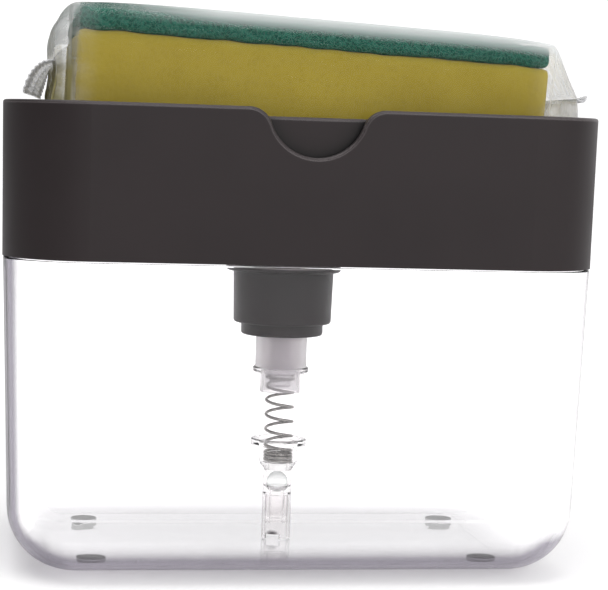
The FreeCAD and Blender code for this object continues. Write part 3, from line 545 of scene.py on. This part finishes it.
def wrapping_film():
    """Cast polypropylene film: clear and glossy, with milky streaks where it is creased or crimped, a painted
    white sheen along the sponge's upper edges, and painted shade in its slack left end."""
    material, tree = blank("clear_wrapping_film")
    place = add(tree, "ShaderNodeUVMap", uv_map="film").outputs["UV"]
    run = add(tree, "ShaderNodeMapping", {
        "Vector": place, "Scale": (per_size(STREAK_LENGTH), per_size(STREAK_WIDTH), 1.0)})
    streak = add(tree, "ShaderNodeTexNoise", {"Vector": run.outputs[0], "Scale": 1.0, "Detail": 3.0})
    flat = add(tree, "ShaderNodeSeparateXYZ", {"Vector": place})
    along = flat.outputs["X"]
    way = flat.outputs["Y"]
    far = add(tree, "ShaderNodeMath", {0: along}, operation="ABSOLUTE").outputs[0]
    top = add(tree, "ShaderNodeMath", {0: way, 1: FILM_TOP_MIDDLE}, operation="SUBTRACT")
    top = add(tree, "ShaderNodeMath", {0: top.outputs[0]}, operation="ABSOLUTE").outputs[0]
    fin = add(tree, "ShaderNodeMapRange", {
        "Value": far, "From Min": CRIMPED_FINS[0], "From Max": CRIMPED_FINS[1],
        "To Min": 0.0, "To Max": 0.45})
    # The lower half of the right end is bunched up and white; the left end is slack up to its fin.
    right = add(tree, "ShaderNodeMapRange", {
        "Value": along, "From Min": BUNCHED_RIGHT[0], "From Max": BUNCHED_RIGHT[1]})
    low = add(tree, "ShaderNodeMapRange", {
        "Value": top, "From Min": LOWER_HALF[0], "From Max": LOWER_HALF[1]})
    bunch = add(tree, "ShaderNodeMath", {0: right.outputs[0], 1: low.outputs[0]}, operation="MULTIPLY")
    bunch = add(tree, "ShaderNodeMath", {0: bunch.outputs[0], 1: BUNCH_MILK}, operation="MULTIPLY")
    slack = add(tree, "ShaderNodeMapRange", {
        "Value": along, "From Min": SLACK_LEFT[0], "From Max": SLACK_LEFT[1]})
    taut = add(tree, "ShaderNodeMapRange", {
        "Value": along, "From Min": SLACK_FIN[0], "From Max": SLACK_FIN[1]})
    slack = add(tree, "ShaderNodeMath", {0: slack.outputs[0], 1: taut.outputs[0]}, operation="MULTIPLY")
    slant = slant_crease(tree, way, far)
    # A painted sheen along the sponge's upper edges.
    band = painted_edge_sheen(tree, along, top)
    limp = slack_pocket(tree, slack, low)
    kink = clear_kink(tree, along, top, taut)
    milk = creased_ends(tree, along, far, streak.outputs["Fac"])
    for whiter in (fin, slant, band, bunch, limp):
        milk = add(tree, "ShaderNodeMath", {0: milk.outputs[0], 1: whiter.outputs[0]}, operation="ADD")
    milk = add(tree, "ShaderNodeMath", {0: milk.outputs[0], 1: MOST_MILK}, operation="MINIMUM")
    plain = add(tree, "ShaderNodeMath", {0: 1.0, 1: kink.outputs[0]}, operation="SUBTRACT")
    milk = add(tree, "ShaderNodeMath", {0: milk.outputs[0], 1: plain.outputs[0]}, operation="MULTIPLY")
    # The film shines, less at both ends.
    ripple = add(tree, "ShaderNodeBump", {
        "Height": streak.outputs["Fac"], "Strength": 0.3, "Distance": 0.3 * MM})
    shine = add(tree, "ShaderNodeFresnel", {"IOR": 1.25, "Normal": ripple.outputs["Normal"]})
    dull = add(tree, "ShaderNodeMath", {0: right.outputs[0], 1: slack.outputs[0]}, operation="MAXIMUM")
    dull = add(tree, "ShaderNodeMapRange", {"Value": dull.outputs[0], "To Min": 1.0, "To Max": 0.35})
    shine = add(tree, "ShaderNodeMath", {0: shine.outputs[0], 1: dull.outputs[0]}, operation="MULTIPLY")
    through = add(tree, "ShaderNodeBsdfTransparent", {"Color": linear("#FCFCFC")})
    gloss = add(tree, "ShaderNodeBsdfPrincipled", {
        "Base Color": linear("#FFFFFF"), "Metallic": 1.0, "Roughness": 0.08,
        "Normal": ripple.outputs["Normal"]})
    skin = add(tree, "ShaderNodeMixShader", {
        0: shine.outputs[0], 1: through.outputs[0], 2: gloss.outputs[0]})
    # Painted shade: the slack end is greyer than the rest, and lower down it is painted in the foam's colour
    # as if seen through the film.
    tint = add(tree, "ShaderNodeMix", {
        "Factor": low.outputs[0], "A": linear("#B4B7B6"), "B": linear("#A8A16E")}, data_type="RGBA")
    white = add(tree, "ShaderNodeMix", {
        "Factor": slack.outputs[0], "A": linear("#F6F6F7"), "B": tint.outputs["Result"]}, data_type="RGBA")
    haze = add(tree, "ShaderNodeBsdfPrincipled", {"Base Color": white.outputs["Result"], "Roughness": 0.5})
    glow = add(tree, "ShaderNodeBsdfTranslucent", {"Color": white.outputs["Result"]})
    mist = add(tree, "ShaderNodeMixShader", {0: MILK_GLOW, 1: haze.outputs[0], 2: glow.outputs[0]})
    film = add(tree, "ShaderNodeMixShader", {0: milk.outputs[0], 1: skin.outputs[0], 2: mist.outputs[0]})
    add(tree, "ShaderNodeOutputMaterial", {"Surface": film.outputs[0]})
    return material


def piece(name, bm, material, body, slot, *stands_for):
    """Turn a bmesh into a shown piece that rides on a body and stands for CAD nodes."""
    mesh = bpy.data.meshes.new(name)
    bm.to_mesh(mesh)
    bm.free()
    mesh.polygons.foreach_set("use_smooth", [True] * len(mesh.polygons))
    mesh.materials.append(material)
    made = bpy.data.objects.new(name, mesh)
    bpy.context.scene.collection.objects.link(made)
    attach(made, body)
    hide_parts(*stands_for)
    return made


def sponge_layer(node):
    """Length, depth and thickness of a tilted sponge layer, and the matrix that lays it in the tray.

    The layer's own frame has its lower right-hand edge along Y at the origin and its length towards -X.
    """
    low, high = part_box(node)
    span = high - low
    lean = math.cos(2 * SPONGE_TILT)
    length = (span.x * math.cos(SPONGE_TILT) - span.z * math.sin(SPONGE_TILT)) / lean
    thickness = (span.z * math.cos(SPONGE_TILT) - span.x * math.sin(SPONGE_TILT)) / lean
    corner = Vector((low.x + length * math.cos(SPONGE_TILT), 0, low.z))
    lay = Matrix.Translation(corner) @ Matrix.Rotation(SPONGE_TILT, 4, "Y")
    return Vector((length, span.y, thickness)), lay


def divided_block(size, step):
    """Block of the layer's size, its faces cut into squares about a step wide."""
    bm = bmesh.new()
    bmesh.ops.create_cube(bm, size=1.0)
    bmesh.ops.scale(bm, vec=size, verts=bm.verts)
    bmesh.ops.translate(bm, vec=(-size.x / 2, 0, size.z / 2), verts=bm.verts)
    for axis in range(3):
        along = [e for e in bm.edges if abs((e.verts[0].co - e.verts[1].co)[axis]) > step]
        bmesh.ops.subdivide_edges(bm, edges=along, cuts=round(size[axis] / step) - 1, use_grid_fill=True)
    return bm


def round_off(bm, size, radius):
    """Round a block's edges and corners by drawing its skin towards a smaller block inside it."""
    for vert in bm.verts:
        inner = Vector((
            min(max(vert.co.x, radius - size.x), -radius),
            min(max(vert.co.y, radius - size.y / 2), size.y / 2 - radius),
            min(max(vert.co.z, radius), size.z - radius)))
        out = vert.co - inner
        if out.length > radius:
            vert.co = inner + out.normalized() * radius


def bond_wave(x, y):
    """Height of the uneven line along which pad and foam are bonded."""
    return BOND_WAVE * noise.noise(Vector((x, y, 0)) / BOND_WAVE_LENGTH)


def foam_block(material):
    """Cut foam: soft edges, faces a little uneven from the saw, top bonded along a wavy line."""
    size, place = sponge_layer("sponge_foam")
    bm = divided_block(size, SPONGE_STEP)
    round_off(bm, size, FOAM_ROUNDING)
    bm.normal_update()
    for vert in bm.verts:
        share = vert.co.z / size.z
        sag = noise.noise(vert.co / FOAM_UNEVEN_LENGTH) - FOAM_SINK
        vert.co += vert.normal * sag * FOAM_UNEVEN * (1 - share)
        vert.co.z += bond_wave(vert.co.x, vert.co.y) * share
    bmesh.ops.transform(bm, matrix=place, verts=bm.verts)
    foam = piece("sponge_foam_block", bm, material, "sponge", "yellow_foam", "sponge_foam")
    return foam


def scouring_layer(material):
    """Scouring pad: felted, its edges fuzzed and rounded, its underside bonded along the same wavy line."""
    size, place = sponge_layer("scouring_pad")
    bm = divided_block(size, SPONGE_STEP / 2)
    round_off(bm, size, PAD_ROUNDING)
    bm.normal_update()
    for vert in bm.verts:
        share = 1 - vert.co.z / size.z
        fuzz = noise.noise(vert.co / PAD_UNEVEN_LENGTH) - PAD_SINK
        vert.co += vert.normal * fuzz * PAD_UNEVEN * (1 - share)
        vert.co.z += bond_wave(vert.co.x, vert.co.y) * share
    bmesh.ops.transform(bm, matrix=place, verts=bm.verts)
    pad = piece("scouring_pad_layer", bm, material, "sponge", "green_scour", "scouring_pad")
    return pad


def bezier(points, share):
    """Point in metres on the curve steered by a row of control points in millimetres."""
    points = [Vector(point) * MM for point in points]
    while len(points) > 1:
        points = [a.lerp(b, share) for a, b in zip(points, points[1:])]
    return points[0]


def film_rows(length):
    """Rows across the film from its left fin to its right one: side, zone, share and run.

    The share of a row goes outwards from the sponge's end, or along a sleeve row from left to right.
    The run is its way along the film from the middle.
    """
    ends = round(FILM_END_RUN / FILM_END_STEP)
    fins = round(FIN_RUN / FIN_STEP)
    sleeve = round(length / FILM_SLEEVE_STEP)
    outer = [("end", i / ends, length / 2 + FILM_END_RUN * i / ends) for i in range(ends)]
    outer += [("fin", i / fins, length / 2 + FILM_END_RUN + FIN_RUN * i / fins) for i in range(fins + 1)]
    left = [(-1, zone, share, -run) for zone, share, run in reversed(outer)]
    middle = [(0, "sleeve", i / sleeve, length * (i / sleeve - 0.5)) for i in range(1, sleeve)]
    return left + middle + [(1, zone, share, run) for zone, share, run in outer]


def film_girth(way, depth, height):
    """Where a way round the sleeve lies: across is -1 in front and 1 behind, rise 0 below and 1 on top.

    The way starts under the middle and goes round by the front, the top and the back to the lap.
    """
    if way < depth / 2:
        return -2 * way / depth, 0
    if way < depth / 2 + height:
        return -1, (way - depth / 2) / height
    if way < 1.5 * depth + height:
        return 2 * (way - depth - height) / depth, 1
    if way < 1.5 * depth + 2 * height:
        return 1, 1 - (way - 1.5 * depth - height) / height
    return 1 - 2 * (way - 1.5 * depth - 2 * height) / depth, 0


def film_point(row, way, size):
    """Place of the film where a row meets a way round it, in the sponge's own frame."""
    side, zone, share, run = row
    depth = size.y + 2 * FILM_GAP
    height = size.z + 2 * FILM_GAP
    across, rise = film_girth(way, depth, height)
    fold = 1 - abs(2 * rise - 1) if abs(across) == 1 else 0
    lap = -2 * FIN_LAYER if way > 2 * depth + 2 * height - FILM_LAP else 0
    if zone == "sleeve":
        crown = FILM_CROWN * (1 - (2 * share - 1) ** FILM_CROWN_POWER) * rise ** FILM_CROWN_POWER
        return Vector(((share - 1) * size.x, across * depth / 2, rise * height - FILM_GAP + crown + lap))
    tops, bottoms, fronts, backs = (
        (LEFT_TOP, LEFT_BOTTOM, LEFT_FIN_FRONT, LEFT_FIN_BACK) if side < 0
        else (RIGHT_TOP, RIGHT_BOTTOM, RIGHT_FIN_FRONT, RIGHT_FIN_BACK))
    if zone == "end":
        top = bezier(tops, share)
        bottom = bezier(bottoms, share)
        shut = min((top.y - bottom.y) / height, 1)
        tuck = FILM_TUCK * math.sqrt(1 - shut ** 2)
        half = depth / 2 + (FIN_HALF_DEPTH - depth / 2) * share
        spot = bottom.lerp(top, rise)
    else:
        tooth = FIN_TOOTH / FIN_RUN * abs(2 * (way / FIN_TOOTH_PITCH % 1) - 1)
        half = FIN_HALF_DEPTH
        tuck = FILM_TUCK
        place = (across * (1 - tuck * fold / half) + 1) / 2
        curve = [Vector(a).lerp(Vector(b), place) for a, b in zip(fronts, backs)]
        spot = bezier(curve, share * (1 - tooth))
        ahead = (bezier(curve, share + FIN_SLOPE_STEP) - bezier(curve, share)).normalized()
        crimp = FIN_CRIMP * math.sin(2 * math.pi * run / FIN_CRIMP_PITCH) * min(1, share / FIN_CRIMP_START)
        spot += Vector((-ahead.y, ahead.x)) * (FIN_LAYER * (2 * rise - 1) + crimp + lap)
        lap = 0
    x = spot.x if side > 0 else -size.x - spot.x
    return Vector((x, across * (half - tuck * fold), spot.y + lap))


def film_sleeve(material):
    """Film wrapper: a flat sheet bent round the sponge, its ends tucked in, folded and crimped."""
    foam, place = sponge_layer("sponge_foam")
    pad, _ = sponge_layer("scouring_pad")
    size = Vector((foam.x, foam.y, foam.z + pad.z))
    rows = film_rows(size.x)
    girth = 2 * (size.y + size.z + 4 * FILM_GAP) + FILM_LAP
    columns = round(girth / FILM_GIRTH_STEP)
    bm = bmesh.new()
    bmesh.ops.create_grid(bm, x_segments=len(rows) - 1, y_segments=columns, size=0.5)
    spots = [(round((v.co.x + 0.5) * (len(rows) - 1)), (v.co.y + 0.5) * girth) for v in bm.verts]
    flat = bm.loops.layers.uv.new("film")
    for face in bm.faces:
        for loop in face.loops:
            row, way = spots[loop.vert.index]
            loop[flat].uv = rows[row][3], way
    for vert, (row, way) in zip(bm.verts, spots):
        vert.co = film_point(rows[row], way, size)
    soft = [vert for vert, (row, way) in zip(bm.verts, spots) if rows[row][1] != "fin"]
    for _ in range(FILM_SMOOTHINGS):
        bmesh.ops.smooth_vert(
            bm, verts=soft, factor=FILM_SMOOTHING, use_axis_x=True, use_axis_y=True, use_axis_z=True)
    bmesh.ops.recalc_face_normals(bm, faces=bm.faces)
    bm.normal_update()
    for vert, (row, way) in zip(bm.verts, spots):
        side, zone, share, run = rows[row]
        if zone == "end":
            fold = noise.noise(Vector((way / FILM_FOLD_WIDTH, run / FILM_FOLD_LENGTH, side)))
            vert.co += vert.normal * fold * FILM_FOLD * math.sin(math.pi * share) ** FILM_FOLD_POWER
    bmesh.ops.transform(bm, matrix=place, verts=bm.verts)
    film = piece("sponge_film", bm, material, "sponge", "clear_film", "sponge_wrapper")
    return film


def wound_spring(material):
    """Compression spring: a round section spun up its axis at a close, an open and a close pitch."""
    low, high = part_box("pump_spring")
    wire = WIRE_DIAMETER / 2
    coil = (high.x - low.x) / 2 - wire
    foot = low.z + wire
    open_height = high.z - wire - foot - (CLOSE_TURNS_LOW + CLOSE_TURNS_HIGH) * CLOSE_PITCH
    bm = bmesh.new()
    upright = Matrix.Translation((coil, 0, foot)) @ Matrix.Rotation(math.pi / 2, 4, "X")
    bmesh.ops.create_circle(bm, segments=WIRE_SIDES, radius=wire, matrix=upright)
    first = list(bm.edges)
    front = first
    for turns, pitch in (
        (CLOSE_TURNS_LOW, CLOSE_PITCH),
        (OPEN_TURNS, open_height / OPEN_TURNS),
        (CLOSE_TURNS_HIGH, CLOSE_PITCH),
    ):
        spun = bmesh.ops.spin(
            bm, geom=front, axis=(0, 0, 1), cent=(0, 0, 0), angle=-2 * math.pi * turns,
            steps=round(turns * STEPS_PER_TURN), dvec=(0, 0, pitch / STEPS_PER_TURN))
        front = [part for part in spun["geom_last"] if isinstance(part, bmesh.types.BMEdge)]
    bmesh.ops.edgeloop_fill(bm, edges=first)
    bmesh.ops.edgeloop_fill(bm, edges=front)
    bmesh.ops.recalc_face_normals(bm, faces=bm.faces)
    spring = piece("wound_pump_spring", bm, material, "collar", "spring_steel", "pump_spring")
    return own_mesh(spring)


def dress(material, *names):
    """Give CAD nodes a material in all their slots."""
    for name in names:
        mesh = nodes[name].data
        mesh.materials.clear()
        mesh.materials.append(material)


def white_world():
    """World that lights the object more from the right than the left, and that the eye sees as white."""
    world = bpy.data.worlds.new("white_studio")
    world.use_nodes = True
    tree = world.node_tree
    tree.nodes.clear()
    path = add(tree, "ShaderNodeLightPath")
    seen = add(tree, "ShaderNodeMath", {
        0: path.outputs["Is Camera Ray"], 1: path.outputs["Is Transmission Ray"]}, operation="MAXIMUM")
    direction = add(tree, "ShaderNodeTexCoord").outputs["Generated"]
    way = add(tree, "ShaderNodeSeparateXYZ", {"Vector": direction})
    sides = add(tree, "ShaderNodeMapRange", {
        "Value": way.outputs["X"], "From Min": WORLD_TURN[0], "From Max": WORLD_TURN[1],
        "To Min": WORLD_LEFT, "To Max": WORLD_RIGHT})
    level = add(tree, "ShaderNodeMix", {
        "Factor": seen.outputs[0], "A": sides.outputs["Result"], "B": WORLD_SEEN})
    light = add(tree, "ShaderNodeBackground", {
        "Color": linear("#FFFFFF"), "Strength": level.outputs["Result"]})
    add(tree, "ShaderNodeOutputWorld", {"Surface": light.outputs[0]})
    return world


def white_paper():
    """White paper, matt: pale grey that keeps the shadow, and glows towards white away from the object."""
    material, tree = blank("white_paper_floor")
    path = add(tree, "ShaderNodeLightPath")
    place = add(tree, "ShaderNodeTexCoord").outputs["Object"]
    far = add(tree, "ShaderNodeVectorMath", {0: place}, operation="LENGTH")
    level = add(tree, "ShaderNodeMapRange", {
        "Value": far.outputs["Value"], "From Min": FLOOR_NEAR, "From Max": FLOOR_FAR,
        "To Min": GLOW_NEAR, "To Max": GLOW_FAR})
    plain = add(tree, "ShaderNodeMath", {
        0: path.outputs["Is Camera Ray"], 1: level.outputs["Result"]}, operation="MULTIPLY")
    glass = add(tree, "ShaderNodeMath", {
        0: path.outputs["Is Transmission Ray"], 1: GLOW_THROUGH_GLASS}, operation="MULTIPLY")
    lift = add(tree, "ShaderNodeMath", {0: plain.outputs[0], 1: glass.outputs[0]}, operation="ADD")
    paper = add(tree, "ShaderNodeBsdfPrincipled", {
        "Base Color": linear("#E6E5E6"), "Roughness": 0.9, "Specular IOR Level": 0.0,
        "Emission Color": linear("#FFFFFF"), "Emission Strength": lift.outputs[0]})
    add(tree, "ShaderNodeOutputMaterial", {"Surface": paper.outputs[0]})
    return material


def studio():
    """White surroundings: a world that looks white, a pale floor that keeps the shadow, and soft lamps."""
    scene = bpy.context.scene
    scene.view_settings.view_transform = "Standard"
    # The pump stands in the tank as glass in glass, so a ray crosses many faces.
    scene.cycles.max_bounces = 40
    scene.cycles.transmission_bounces = 36
    scene.cycles.transparent_max_bounces = 32
    scene.world = white_world()

    bm = bmesh.new()
    bmesh.ops.create_grid(bm, x_segments=1, y_segments=1, size=FLOOR_HALF)
    mesh = bpy.data.meshes.new("studio_floor")
    bm.to_mesh(mesh)
    bm.free()
    mesh.materials.append(white_paper())
    floor = bpy.data.objects.new("studio_floor", mesh)
    scene.collection.objects.link(floor)

    # Each lamp's place and width in metres, and its power in watts.
    for name, place, width, power in (
        ("top_softbox", (-0.25, -0.2, 1.3), 1.0, 9.0),
        ("front_softbox", (0.35, -1.35, 0.75), 1.0, 8.0),
        ("right_softbox", (0.9, -0.75, 0.55), 0.7, 2.4),
        ("left_softbox", (-1.0, -0.3, 0.6), 0.6, 0.3),
    ):
        lamp = bpy.data.lights.new(name, "AREA")
        lamp.size = width
        lamp.energy = power
        made = bpy.data.objects.new(name, lamp)
        made.location = place
        made.rotation_mode = "QUATERNION"
        made.rotation_quaternion = (LAMP_AIM - Vector(place)).to_track_quat("-Z", "Y")
        scene.collection.objects.link(made)


def photo_camera():
    """Camera at the photograph's place, about level with the rim and a little to the left."""
    forward = Vector((
        math.sin(CAMERA_AZIMUTH) * math.cos(CAMERA_DROP),
        math.cos(CAMERA_AZIMUTH) * math.cos(CAMERA_DROP),
        -math.sin(CAMERA_DROP)))
    lens = bpy.data.cameras.new("photo_camera")
    lens.sensor_width = CAMERA_SENSOR
    lens.lens = CAMERA_LENS
    camera = bpy.data.objects.new("photo_camera", lens)
    camera.location = CAMERA_AIM - forward * CAMERA_DISTANCE
    camera.rotation_mode = "QUATERNION"
    camera.rotation_quaternion = forward.to_track_quat("-Z", "Y") @ Quaternion((0, 0, 1), CAMERA_ROLL)
    bpy.context.scene.collection.objects.link(camera)
    bpy.context.scene.camera = camera


dress(clear_styrene(), "tank")
dress(warm_grey_abs(), "collar_tray", "press_tray", "outlet_nozzle", "pump_collar")
dress(clear_polypropylene(), "pump_cylinder", "dip_tube")
dress(natural_polyethylene(), "stem_guide", "pump_stem", "piston_seal", "piston_rod")
dress(seal_rubber(), "pump_gasket")
dress(foot_rubber(), "foot_front_left", "foot_front_right", "foot_rear_left", "foot_rear_right")
dress(valve_glass(), "inlet_ball")
foam_block(yellow_foam())
scouring_layer(green_scour())
wound_spring(spring_wire())
film_sleeve(wrapping_film())
studio()
photo_camera()
